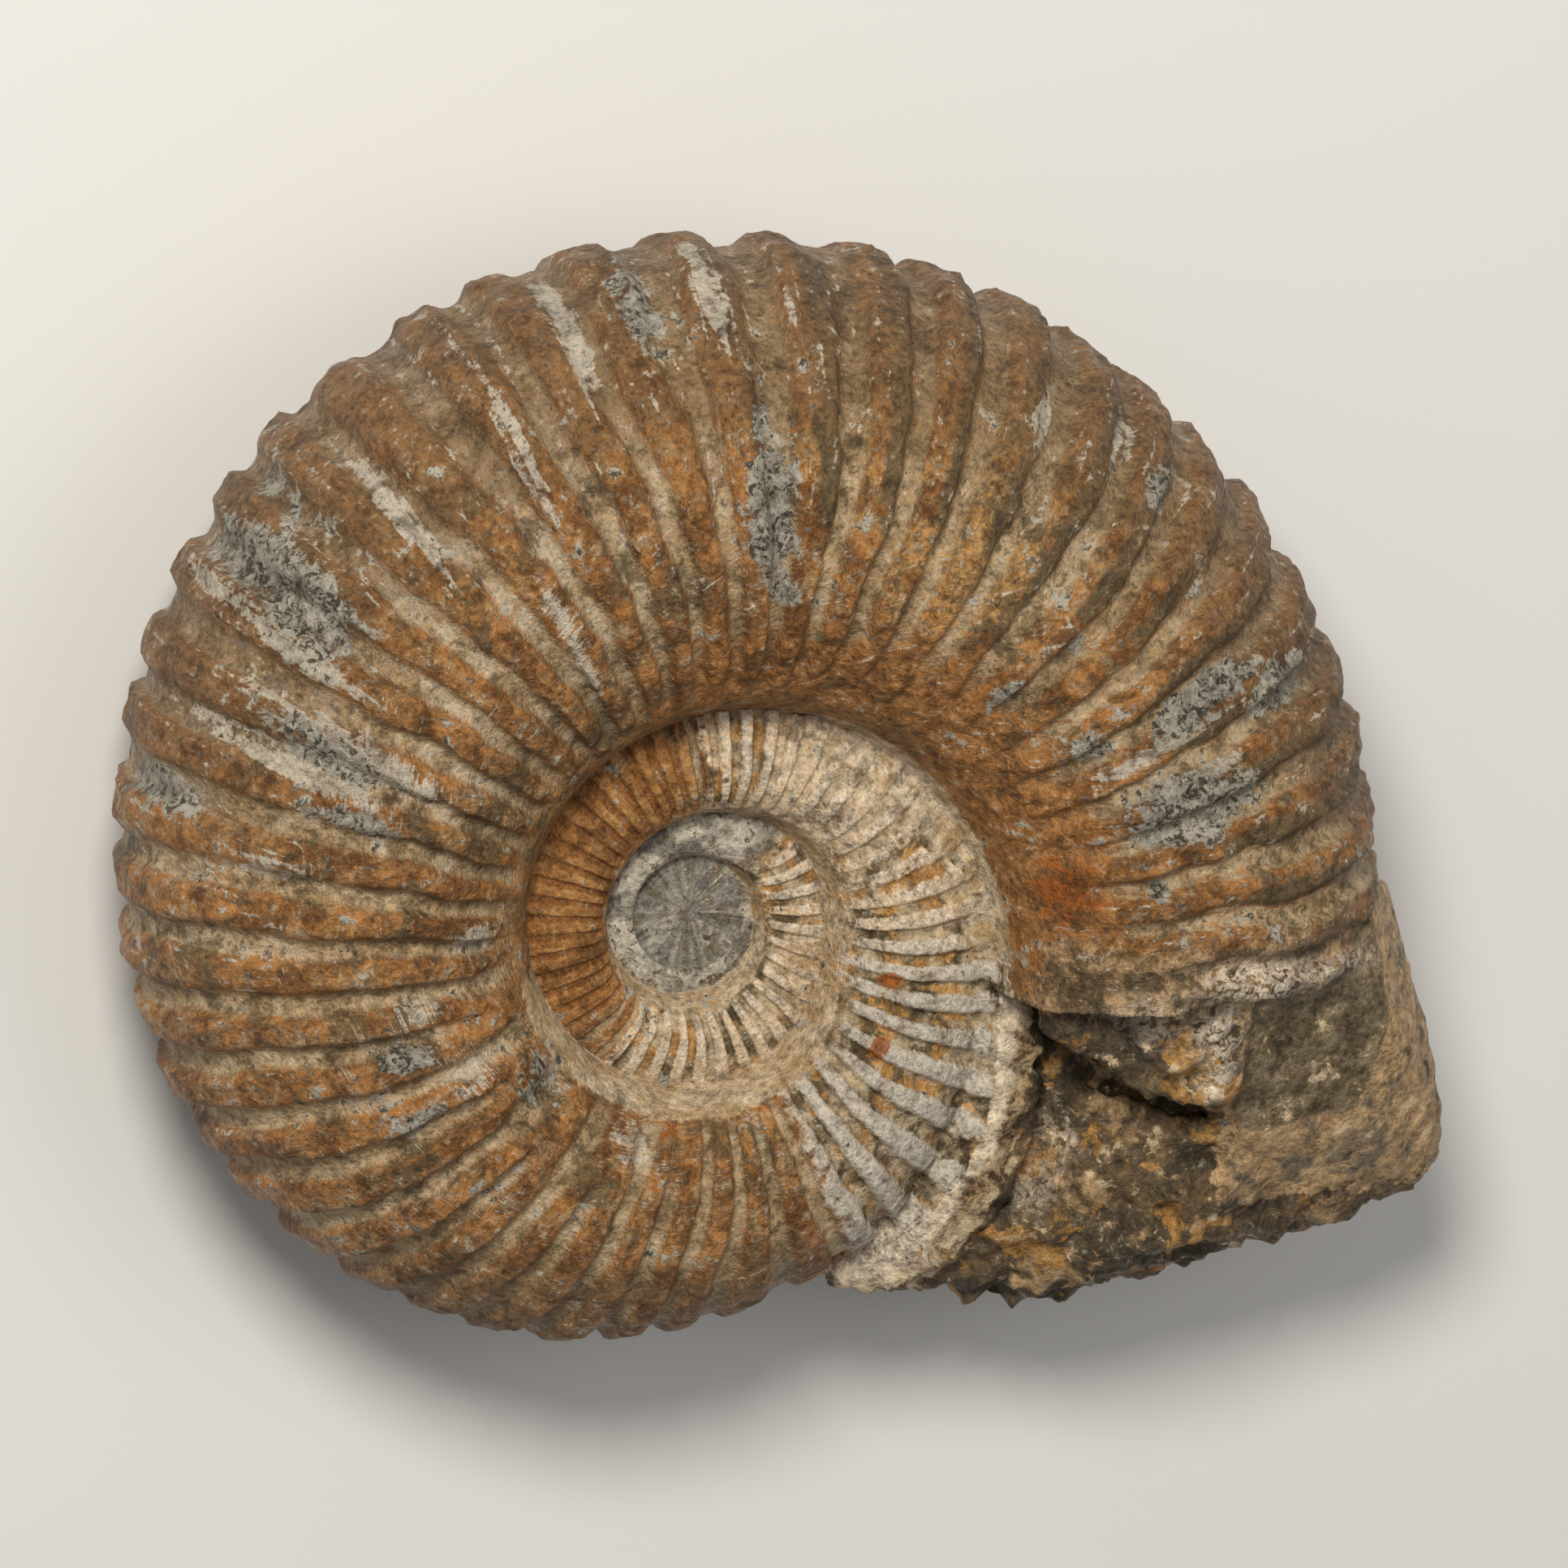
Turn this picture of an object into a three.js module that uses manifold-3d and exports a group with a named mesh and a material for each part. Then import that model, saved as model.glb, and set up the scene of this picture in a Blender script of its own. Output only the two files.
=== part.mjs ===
// Ammonite fossil: a ribbed, planispiral shell of stone, lying on one flank.
// A block of the rock that filled its body chamber is still joined to the broken mouth.
// Millimetres, +Z up. The shell is first built about its coil axis, as a spiral strip:
// the growth angle, in degrees, runs back from the mouth and equals the compass angle
// about the coil axis plus whole turns. It is then laid on its lower flank.

import * as THREE from 'three';
import { ConvexGeometry } from 'three/addons/geometries/ConvexGeometry.js';
import { mergeVertices } from 'three/addons/utils/BufferGeometryUtils.js';
import Module from 'manifold-3d';

// ---- Driving dimensions -------------------------------------------------------------

// Outer radius of the whorl (its venter) at every 60 degrees back from the mouth,
// from just beyond it to one full turn in, and the growth per turn further inside.
const VENTER_STEP = 60;
const VENTER_START = -60;
const VENTER_RADII = [55.6, 53.5, 52.8, 51.2, 44.0, 35.5, 28.8, 24.8];
const INNER_GROWTH = 2.05;

const HALF_BREADTH = 0.37;        // half thickness of a whorl / its venter radius
const CREST_RADIUS = 0.60;        // where the flank stands highest / venter radius
const VENTER_POWERS = [2.3, 2.1]; // roundness of the venter across and along the axis
const FLANK_POWER = 1.8;          // how the flank rounds off towards the umbilicus

const RIM_RADIUS = 22.4;          // umbilical rim at the mouth
const RIM_GROWTH = 2.0;           // its growth per turn
const RIM_FLARE = 1.2;            // how much further it opens out at the mouth
const RIM_FLARE_ANGLE = 60;
const RIM_HEIGHT = 0.62;          // height of the rim above the median plane / its radius
const SEAM_RADIUS = 0.905;        // seam at the foot of the umbilical wall / rim radius

const RIBS_PER_TURN = 48;
const RIB_HEIGHT = 1.1;           // crest to groove on the outermost whorl

const MOUTH_ANGLE = -8;           // growth angle of the broken mouth
const TURN = 360;
const TURNS = 3;
const COLUMN_STEP = TURN / (2 * RIBS_PER_TURN);   // one column on each crest and groove
const FLANK_ROWS = 5;             // from the seam of one whorl to the seam of the next
const VENTER_ROWS = 8;            // from that seam line, over the venter, to the other side

// The shell lies on the lower flank, whose crest slopes because the whorl grows.
// The highest ribs there are worn to a flat that it rests on.
const REST_SLOPE_X = -0.052;
const REST_SLOPE_Y = -0.049;
const REST_HEIGHT = 17.3;         // coil axis centre above the surface, after wear
const AXIS_X = -7.27;             // where the coil axis stands, from the middle of the box
const AXIS_Y = -9.95;

// ---- Whorl section ------------------------------------------------------------------

// Smooth curve through evenly spaced values.
function smoothThrough(values, position) {
  const last = values.length - 1;
  const i = Math.min(Math.max(Math.floor(position), 0), last - 1);
  const t = position - i;
  const slope = (n) => {
    const low = Math.max(n - 1, 0);
    const high = Math.min(n + 1, last);
    return (values[high] - values[low]) / (high - low);
  };
  const rise = t * t * (3 - 2 * t);
  const start = t * (1 - t) * (1 - t);
  const end = t * t * (t - 1);
  return values[i] + (values[i + 1] - values[i]) * rise + slope(i) * start + slope(i + 1) * end;
}

function venterRadius(angle) {
  if (angle > TURN) {
    return VENTER_RADII.at(-1) * INNER_GROWTH ** ((TURN - angle) / TURN);
  }
  return smoothThrough(VENTER_RADII, (angle - VENTER_START) / VENTER_STEP);
}

function rimRadius(angle) {
  const flare = RIM_FLARE * Math.exp(-Math.max(angle, VENTER_START) / RIM_FLARE_ANGLE);
  return RIM_RADIUS * RIM_GROWTH ** (-angle / TURN) + flare;
}

function seamRadius(angle) {
  return SEAM_RADIUS * rimRadius(angle);
}

// Height of the flank above the median plane, at radius r between the rim and the venter.
function flankHeight(r, angle) {
  const venter = venterRadius(angle);
  const crest = CREST_RADIUS * venter;
  const top = HALF_BREADTH * venter;
  if (r > crest) {
    const across = Math.min((r - crest) / (venter - crest), 1);
    return top * (1 - across ** VENTER_POWERS[0]) ** (1 / VENTER_POWERS[1]);
  }
  const rim = rimRadius(angle);
  const rimTop = RIM_HEIGHT * rim;
  const inward = (crest - r) / (crest - rim);
  return rimTop + (top - rimTop) * (1 - inward ** FLANK_POWER);
}

// Points [radius, height] of one whorl section: up the umbilical wall, over the flank,
// round the venter and back along the lower side, without ribs.
const LAST_ROW = 2 * FLANK_ROWS + VENTER_ROWS;

function smoothSection(angle) {
  const rim = rimRadius(angle);
  const venter = venterRadius(angle);
  const crest = CREST_RADIUS * venter;
  const coverLine = seamRadius(angle - TURN);     // where the next whorl out would cover it
  const foot = seamRadius(angle);
  const upper = [[foot, flankHeight(foot, angle + TURN)]];
  for (let k = 1; k <= FLANK_ROWS; k++) {
    const r = rim + (coverLine - rim) * (k - 1) / (FLANK_ROWS - 1);
    upper.push([r, flankHeight(r, angle)]);
  }
  const across = (coverLine - crest) / (venter - crest);
  const start = Math.acos(across ** (VENTER_POWERS[0] / 2));
  const round = [];
  for (let k = 1; k < VENTER_ROWS; k++) {
    const a = start * (1 - 2 * k / VENTER_ROWS);
    const r = crest + (venter - crest) * Math.cos(a) ** (2 / VENTER_POWERS[0]);
    const height = HALF_BREADTH * venter * Math.abs(Math.sin(a)) ** (2 / VENTER_POWERS[1]);
    round.push([r, Math.sign(a) * height]);
  }
  const lower = upper.map(([r, z]) => [r, -z]).reverse();
  return [...upper, ...round, ...lower];
}

// The same section pushed out on the crest of a rib, or in on a groove.
function ribbedSection(angle, column) {
  const smooth = smoothSection(angle);
  const scale = venterRadius(angle) / VENTER_RADII[1];
  const push = (column % 2 === 0 ? 0.5 : -0.5) * RIB_HEIGHT * scale;
  return smooth.map(([r, z], k) => {
    const fade = Math.min(k - 1, LAST_ROW - 1 - k) / 2;
    const amount = push * THREE.MathUtils.clamp(fade, 0, 1);
    const [r0, z0] = smooth[Math.max(k - 1, 0)];
    const [r1, z1] = smooth[Math.min(k + 1, LAST_ROW)];
    const length = Math.hypot(r1 - r0, z1 - z0);
    return [r - amount * (z1 - z0) / length, z + amount * (r1 - r0) / length];
  });
}

// ---- Shell --------------------------------------------------------------------------

function shellGeometry() {
  const perTurn = TURN / COLUMN_STEP;
  const columns = TURNS * perTurn;
  const positions = [];
  const triangles = [];
  const index = [];
  const sections = [];

  for (let i = 0; i <= columns + perTurn; i++) {
    sections.push(ribbedSection(MOUTH_ANGLE + i * COLUMN_STEP, i));
  }
  const upperFoot = FLANK_ROWS;                   // these rows meet the next whorl's foot
  const lowerFoot = FLANK_ROWS + VENTER_ROWS;

  // A vertex shared by two whorls is stored with the outer one, as the foot of its wall.
  for (let i = 0; i <= columns; i++) {
    index.push([]);
    const azimuth = THREE.MathUtils.degToRad(MOUTH_ANGLE + i * COLUMN_STEP);
    for (let k = 0; k <= LAST_ROW; k++) {
      const covered = k > upperFoot && k < lowerFoot && i > perTurn;
      if (covered) {
        index[i].push(-1);
        continue;
      }
      if (i >= perTurn && (k === upperFoot || k === lowerFoot)) {
        index[i].push(index[i - perTurn][k === upperFoot ? 0 : LAST_ROW]);
        continue;
      }
      let [r, z] = sections[i][k];
      if (k === 0) {
        [r, z] = sections[i + perTurn][upperFoot];
      }
      if (k === LAST_ROW) {
        [r, z] = sections[i + perTurn][lowerFoot];
      }
      index[i].push(positions.length / 3);
      positions.push(r * Math.cos(azimuth), r * Math.sin(azimuth), z);
    }
  }

  for (let i = 0; i < columns; i++) {
    for (let k = 0; k < LAST_ROW; k++) {
      const covered = k >= upperFoot && k < lowerFoot && i >= perTurn;
      if (covered) {
        continue;
      }
      const a = index[i][k];
      const b = index[i][k + 1];
      const c = index[i + 1][k + 1];
      const d = index[i + 1][k];
      triangles.push(a, b, c, a, c, d);
    }
  }

  // Flat faces: the broken mouth, and the worn centre of the coil on each side.
  const close = (loop, flatten, reversed) => {
    const outline = loop.map((v) => flatten(...positions.slice(3 * v, 3 * v + 3)));
    if (THREE.ShapeUtils.isClockWise(outline)) {
      outline.reverse();
      loop.reverse();
    }
    for (const [a, b, c] of THREE.ShapeUtils.triangulateShape(outline, [])) {
      const corners = [loop[a], loop[b], loop[c]];
      triangles.push(...(reversed ? corners.reverse() : corners));
    }
  };
  const mouth = [...index[0]];
  for (let k = lowerFoot - 1; k > upperFoot; k--) {
    mouth.push(index[perTurn][k]);
  }
  close(mouth, (x, y, z) => new THREE.Vector2(Math.hypot(x, y), z), false);

  const lastTurn = index.slice(columns - perTurn);
  const upperCore = lastTurn.map((column) => column[0]);
  const lowerCore = lastTurn.map((column) => column[LAST_ROW]);
  for (let k = 1; k < upperFoot; k++) {
    upperCore.push(index[columns][k]);
    lowerCore.push(index[columns][LAST_ROW - k]);
  }
  close(upperCore, (x, y) => new THREE.Vector2(x, y), false);
  close(lowerCore, (x, y) => new THREE.Vector2(x, y), true);

  const geometry = new THREE.BufferGeometry();
  geometry.setAttribute('position', new THREE.Float32BufferAttribute(positions, 3));
  geometry.setIndex(triangles);
  return geometry;
}

// ---- Rock ---------------------------------------------------------------------------

// Corner points about the coil axis of the lumps of rock that filled the body chamber.
// Chamber fill: the tall block at the mouth, with one smooth facet on top.
const CHAMBER_FILL = [
  [40.0, 2.0, 14.5], [51.0, 1.5, 9.5], [54.3, -11.5, 9.0], [52.5, -18.5, 8.0], [40.7, -17.4, 11.0],
  [54.6, 0.0, 3.5], [57.6, -11.0, 3.5], [59.5, -19.0, 2.5], [59.7, -23.0, 1.5], [57.5, -25.6, 1.0],
  [49.8, -26.3, 2.5], [45.7, -28.5, 1.5],
  [52.0, 1.0, -8.0], [57.0, -14.0, -8.0], [56.5, -22.0, -7.0], [47.0, -26.0, -9.0],
  [40.0, 2.0, -14.5], [40.0, -20.0, -12.5], [30.0, 2.0, -12.0], [30.0, -16.0, -10.0],
  [30.0, 2.0, 6.0], [31.0, -16.0, 4.0],
];
// Inner block: rougher, beside the umbilical wall, ending in an overhang.
const INNER_BLOCK = [
  [24.6, 0.0, 14.0], [33.0, 1.0, 16.5], [41.0, 0.0, 15.2], [39.5, -13.5, 12.8], [34.4, -13.3, 12.8],
  [27.2, -9.7, 12.6], [24.3, -6.0, 11.0],
  [26.0, 2.0, 4.0], [41.0, 2.0, 4.0], [38.0, -10.0, 6.0], [27.5, -7.0, 6.0],
];
// Lower block: the low, broken rock along the venter of the last complete whorl.
const LOWER_BLOCK = [
  [25.5, -9.0, 5.0], [36.0, -12.0, 7.5], [42.0, -20.0, 9.5], [38.5, -26.0, 7.0], [29.6, -29.5, 4.5],
  [21.5, -28.0, 3.2],
  [46.5, -28.0, 1.2], [31.0, -32.2, 0.5], [29.3, -33.0, -0.4], [22.9, -32.3, -0.4],
  [13.4, -29.5, 0.0], [9.5, -28.5, 0.3],
  [43.0, -25.0, -10.0], [30.0, -30.0, -8.0], [14.0, -27.0, -6.0],
  [20.0, -8.0, -9.0], [34.0, 0.0, -12.0], [16.0, -20.0, -4.0],
];
// Ridge: a lip of the broken outer whorl, left standing on the venter of the whorl inside.
const RIDGE_CREST = [
  [22.6, -4.5, 7.5], [23.8, -9.5, 7.6], [22.9, -17.0, 6.8], [20.0, -22.6, 6.0], [16.0, -27.2, 4.4],
  [12.0, -28.6, 2.6],
];
const RIDGE_RADIUS = 1.7;
const RIDGE_SIDES = 6;
const RIDGE_STEPS = 12;

function cornerPoints(corners) {
  return corners.map((corner) => new THREE.Vector3(...corner));
}

function ridgeGeometry() {
  const circle = new THREE.Shape();
  for (let i = 0; i < RIDGE_SIDES; i++) {
    const a = (2 * Math.PI * i) / RIDGE_SIDES;
    const x = RIDGE_RADIUS * Math.cos(a);
    const y = RIDGE_RADIUS * Math.sin(a);
    if (i === 0) {
      circle.moveTo(x, y);
    } else {
      circle.lineTo(x, y);
    }
  }
  const path = new THREE.CatmullRomCurve3(cornerPoints(RIDGE_CREST));
  return new THREE.ExtrudeGeometry(circle, { extrudePath: path, steps: RIDGE_STEPS });
}

// ---- Joining, laying down and wearing flat --------------------------------------------

const wasm = await Module();
wasm.setup();

function toSolid(geometry) {
  const bare = geometry.clone();
  bare.deleteAttribute('normal');
  bare.deleteAttribute('uv');
  const merged = mergeVertices(bare, 1e-4);
  const vertProperties = new Float32Array(merged.attributes.position.array);
  const triVerts = new Uint32Array(merged.index.array);
  return new wasm.Manifold(new wasm.Mesh({ numProp: 3, vertProperties, triVerts }));
}

function toGeometry(solid) {
  const mesh = solid.getMesh();
  const geometry = new THREE.BufferGeometry();
  geometry.setAttribute('position', new THREE.Float32BufferAttribute(mesh.vertProperties, 3));
  geometry.setIndex(Array.from(mesh.triVerts));
  return geometry;
}

function layDown(geometry) {
  const restNormal = new THREE.Vector3(-REST_SLOPE_X, -REST_SLOPE_Y, 1).normalize();
  const upright = new THREE.Quaternion().setFromUnitVectors(restNormal, new THREE.Vector3(0, 0, 1));
  geometry.applyQuaternion(upright);
  geometry.translate(AXIS_X, AXIS_Y, REST_HEIGHT);
  return geometry;
}

const SURFACE_SIZE = 200;
const SURFACE_DEPTH = 20;

function fossilGeometry() {
  const parts = [
    shellGeometry(),
    new ConvexGeometry(cornerPoints(CHAMBER_FILL)),
    new ConvexGeometry(cornerPoints(INNER_BLOCK)),
    new ConvexGeometry(cornerPoints(LOWER_BLOCK)),
    ridgeGeometry(),
  ];
  const solids = parts.map((part) => toSolid(layDown(part)));
  const whole = solids.reduce((joined, solid) => joined.add(solid));
  const surface = new THREE.BoxGeometry(SURFACE_SIZE, SURFACE_SIZE, SURFACE_DEPTH);
  surface.translate(0, 0, -SURFACE_DEPTH / 2);
  return toGeometry(whole.subtract(toSolid(surface)));
}

const stone = new THREE.MeshStandardMaterial({
  name: 'fossil_stone',
  color: new THREE.Color(0.46, 0.33, 0.2),
  roughness: 0.9,
  metalness: 0,
});

const geometry = fossilGeometry();
geometry.computeVertexNormals();
const fossil = new THREE.Mesh(geometry, stone);
fossil.name = 'ammonite_fossil';

const model = new THREE.Group();
model.add(fossil);

export default model;
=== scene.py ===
"""The looks of an ammonite fossil: one piece of stone, ribbed shell and rock, built as a fine mesh
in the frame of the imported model. Shapes are worked out in millimetres about the coil axis, with the
model's main sizes, then laid down on the lower flank and turned into metres."""

import itertools
import math

import bmesh
import bpy
import numpy as np
from mathutils import Matrix, Vector


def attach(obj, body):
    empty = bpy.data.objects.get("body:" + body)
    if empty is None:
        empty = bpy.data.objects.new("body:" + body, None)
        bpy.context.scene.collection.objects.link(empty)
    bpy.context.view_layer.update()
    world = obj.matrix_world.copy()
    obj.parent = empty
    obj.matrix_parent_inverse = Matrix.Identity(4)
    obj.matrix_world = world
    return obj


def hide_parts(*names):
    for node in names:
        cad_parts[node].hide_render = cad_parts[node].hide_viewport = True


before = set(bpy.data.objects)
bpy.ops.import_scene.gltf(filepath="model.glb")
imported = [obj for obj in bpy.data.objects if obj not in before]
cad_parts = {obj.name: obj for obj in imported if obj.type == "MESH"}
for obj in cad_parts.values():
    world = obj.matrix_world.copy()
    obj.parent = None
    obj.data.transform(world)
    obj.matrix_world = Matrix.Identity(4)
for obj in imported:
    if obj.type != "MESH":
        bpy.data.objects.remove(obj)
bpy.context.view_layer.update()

NODE = "ammonite_fossil"
MM = 0.001

# ---- Sizes shared with the model, in millimetres and degrees ------------------------------

VENTER_STEP = 60
VENTER_START = -60
VENTER_RADII = np.array([55.6, 53.5, 52.8, 51.2, 44.0, 35.5, 28.8, 24.8])
INNER_GROWTH = 2.05
HALF_BREADTH = 0.37
CREST_RADIUS = 0.60
VENTER_POWERS = (2.3, 2.1)
FLANK_POWER = 1.8
RIM_RADIUS = 22.4
RIM_GROWTH = 2.0
RIM_FLARE = 1.2
RIM_FLARE_ANGLE = 60
RIM_HEIGHT = 0.62
SEAM_RADIUS = 0.905
MOUTH_ANGLE = -8
TURN = 360
TURNS = 3
REST_SLOPE = (-0.052, -0.049)
REST_HEIGHT = 17.3
AXIS_AT = (-7.27, -9.95)

# ---- Sizes of the fine surface ------------------------------------------------------------

COLUMNS_PER_TURN = 900
WALL_ROWS = 8          # up the umbilical wall, from the seam to the rim
FLANK_ROWS = 40        # from the rim to where the next whorl out would cover it
VENTER_ROWS = 96       # from there over the venter to the other side
RIM_ROUNDING = 6       # smoothing passes that round the rim off
RIM_DENT = 1.4         # how much tighter the coil is one turn in from the mouth
RIM_DENT_ANGLE = 348
RIM_DENT_SPAN = 34

RIB_HEIGHT = 1.6       # crest to groove on the outermost whorl
FIRST_RIB = 6.0        # growth angle of one rib's crest near the mouth
# Growth angle, then how many degrees apart the ribs stand there.
RIB_SPACING = [
    (-80, 6.2), (290, 8.4), (340, 7.8), (400, 7.3), (430, 6.2), (560, 6.6), (610, 8.5), (720, 11.0),
    (1100, 13.0),
]
# Growth angle, then how strongly the ribs stand out there.
RIB_STRENGTH = [
    (-8, 0.35), (12, 0.8), (75, 0.8), (95, 0.62), (165, 0.66), (205, 0.95), (250, 0.85),
    (290, 0.75), (335, 0.8), (360, 0.55), (378, 0.45), (400, 0.35), (418, 0.4), (432, 0.8),
    (452, 0.8), (465, 0.6), (560, 0.55), (595, 0.85), (750, 0.8), (775, 0.0),
]
# Growth angle, then how many degrees further back a rib ends at the venter than it starts.
RIB_LEAN = [
    (-8, 0), (80, 1), (100, 6), (125, 8), (150, 6), (172, 1), (195, 0), (225, -5), (262, -3),
    (285, 3), (320, 9), (360, 6), (420, 3),
]
PAIRED_RIBS = (172, 188, 248, 266)   # between these growth angles two ribs rise from one root
FORK_AT = 0.25         # how far out a pair of ribs parts, from 0 at the rim to 1 at the venter
RIB_START = 0.14       # how far out the ribs are full, and how much later that is near the mouth
LATE_START = 0.25
LATE_RIBS = (-20, 0, 65, 95)

# How far the rough stone of the shell rises and falls, in millimetres.
GRAIN_HEIGHT = 0.35
LUMP_HEIGHT = 0.28
PIT_HEIGHT = 0.15
FIBRE_HEIGHT = 0.36
FIBRE_LENGTH = 6       # fibres along the ribs are this much longer than they are wide

JAG_ANGLE = 2.2        # how ragged the broken mouth is
JAG_COLUMNS = 42
MOUTH_SLANT = (-5.5, 0.0, 3.4)       # the broken edge at the rim, mid flank and venter, in degrees
MOUTH_WEAR = 1.1
MOUTH_MIDDLE = 38      # a point well inside the broken section
MOUTH_RINGS = (0.97, 0.93, 0.86)
CORE_RADIUS = 4.3      # the worn centre of the coil
CORE_HEIGHT = 1.9
CORE_RINGS = np.linspace(0.9, 0.1, 9)
CORE_DRIFT = (-1.0, 0.6, 0)          # the innermost whorls lie this far off the outer coil's axis
DRIFT_RADII = (9.5, 4)               # where the drift begins and where it is full


# ---- Small tools --------------------------------------------------------------------------

def smoothstep(low, high, value):
    """0 at low, 1 at high, smooth between. Low may be above high."""
    t = np.clip((value - low) / (high - low), 0, 1)
    return t * t * (3 - 2 * t)


def between(low, full, last, end, value):
    """1 from full to last, falling to 0 at low and at end."""
    return smoothstep(low, full, value) * smoothstep(end, last, value)


LATTICE_PRIMES = (374761393, 668265263, 1440662683)
SEED_STEP = 69069
SCRAMBLE = 1274126177


def lattice_noise(points, size, seed):
    """Smooth noise from -1 to 1 whose lumps are about `size` across."""
    scaled = np.asarray(points) / size
    cell = np.floor(scaled).astype(np.int64)
    part = scaled - cell
    part = part * part * (3 - 2 * part)
    total = np.zeros(scaled.shape[:-1])
    for corner in itertools.product((0, 1), repeat=3):
        at = cell + np.array(corner)
        mixed = (at * LATTICE_PRIMES).sum(-1) + seed * SEED_STEP
        mixed = (mixed ^ (mixed >> 13)) * SCRAMBLE
        mixed = (mixed ^ (mixed >> 16)) & 0xFFFF
        weight = np.prod(np.where(corner, part, 1 - part), axis=-1)
        total += weight * (mixed / 32767.5 - 1)
    return total


def rough_noise(points, size, seed, octaves=3):
    """Noise from -1 to 1 with smaller lumps on the larger ones."""
    total = 0
    share = 1.0
    for octave in range(octaves):
        total = total + share * lattice_noise(points, size / 2 ** octave, seed + octave)
        share /= 2
    return total / (2 - 2 * share)


def make_object(name, vertices, faces):
    mesh = bpy.data.meshes.new(name)
    mesh.from_pydata([tuple(v) for v in vertices], [], faces)
    mesh.update()
    obj = bpy.data.objects.new(name, mesh)
    bpy.context.scene.collection.objects.link(obj)
    return obj


def vertex_array(mesh):
    co = np.empty(len(mesh.vertices) * 3, np.float32)
    mesh.vertices.foreach_get("co", co)
    return co.reshape(-1, 3).astype(float)


def normal_array(mesh):
    no = np.empty(len(mesh.vertices) * 3, np.float32)
    mesh.vertex_normals.foreach_get("vector", no)
    return no.reshape(-1, 3).astype(float)


def set_vertices(mesh, co):
    mesh.vertices.foreach_set("co", np.asarray(co, np.float32).ravel())
    mesh.update()


def apply_modifiers(obj):
    depsgraph = bpy.context.evaluated_depsgraph_get()
    mesh = bpy.data.meshes.new_from_object(obj.evaluated_get(depsgraph))
    obj.modifiers.clear()
    old = obj.data
    obj.data = mesh
    bpy.data.meshes.remove(old)


def combine(obj, other, operation):
    """Joins the other closed mesh to obj, or cuts it away, and removes it."""
    modifier = obj.modifiers.new("combine", "BOOLEAN")
    modifier.operation = operation
    modifier.solver = "MANIFOLD"
    modifier.object = other
    apply_modifiers(obj)
    bpy.data.objects.remove(other)


# ---- Whorl section ------------------------------------------------------------------------

def smooth_through(values, position):
    """Smooth curve through evenly spaced values."""
    slopes = np.gradient(values)
    i = np.clip(np.floor(position).astype(int), 0, len(values) - 2)
    t = position - i
    rise = t * t * (3 - 2 * t)
    start = t * (1 - t) ** 2
    end = t * t * (t - 1)
    return values[i] + (values[i + 1] - values[i]) * rise + slopes[i] * start + slopes[i + 1] * end


def venter_radius(angle):
    """Outer radius of the whorl at each growth angle."""
    angle = np.asarray(angle, float)
    inner = VENTER_RADII[-1] * INNER_GROWTH ** ((TURN - angle) / TURN)
    clamped = np.clip(angle, VENTER_START, TURN)
    outer = smooth_through(VENTER_RADII, (clamped - VENTER_START) / VENTER_STEP)
    return np.where(angle > TURN, inner, outer)


def rim_radius(angle):
    """Radius of the umbilical rim at each growth angle."""
    flare = RIM_FLARE * np.exp(-np.maximum(angle, VENTER_START) / RIM_FLARE_ANGLE)
    dent = RIM_DENT * np.exp(-((angle - RIM_DENT_ANGLE) / RIM_DENT_SPAN) ** 2)
    return RIM_RADIUS * RIM_GROWTH ** (-angle / TURN) + flare - dent


def seam_radius(angle):
    """Radius at the foot of the umbilical wall."""
    return SEAM_RADIUS * rim_radius(angle)


def flank_height(r, angle):
    """Height of the flank above the coil's middle plane."""
    venter = venter_radius(angle)
    crest = CREST_RADIUS * venter
    top = HALF_BREADTH * venter
    across = np.clip((r - crest) / (venter - crest), 0, 1)
    outer = top * (1 - across ** VENTER_POWERS[0]) ** (1 / VENTER_POWERS[1])
    rim = rim_radius(angle)
    rim_top = RIM_HEIGHT * rim
    inward = np.clip((crest - r) / (crest - rim), 0, 2)
    inner = rim_top + (top - rim_top) * (1 - inward ** FLANK_POWER)
    return np.where(r > crest, outer, inner)


UPPER_FOOT = WALL_ROWS + FLANK_ROWS          # these rows meet the foot of the next whorl's wall
LOWER_FOOT = UPPER_FOOT + VENTER_ROWS
LAST_ROW = LOWER_FOOT + UPPER_FOOT


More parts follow.
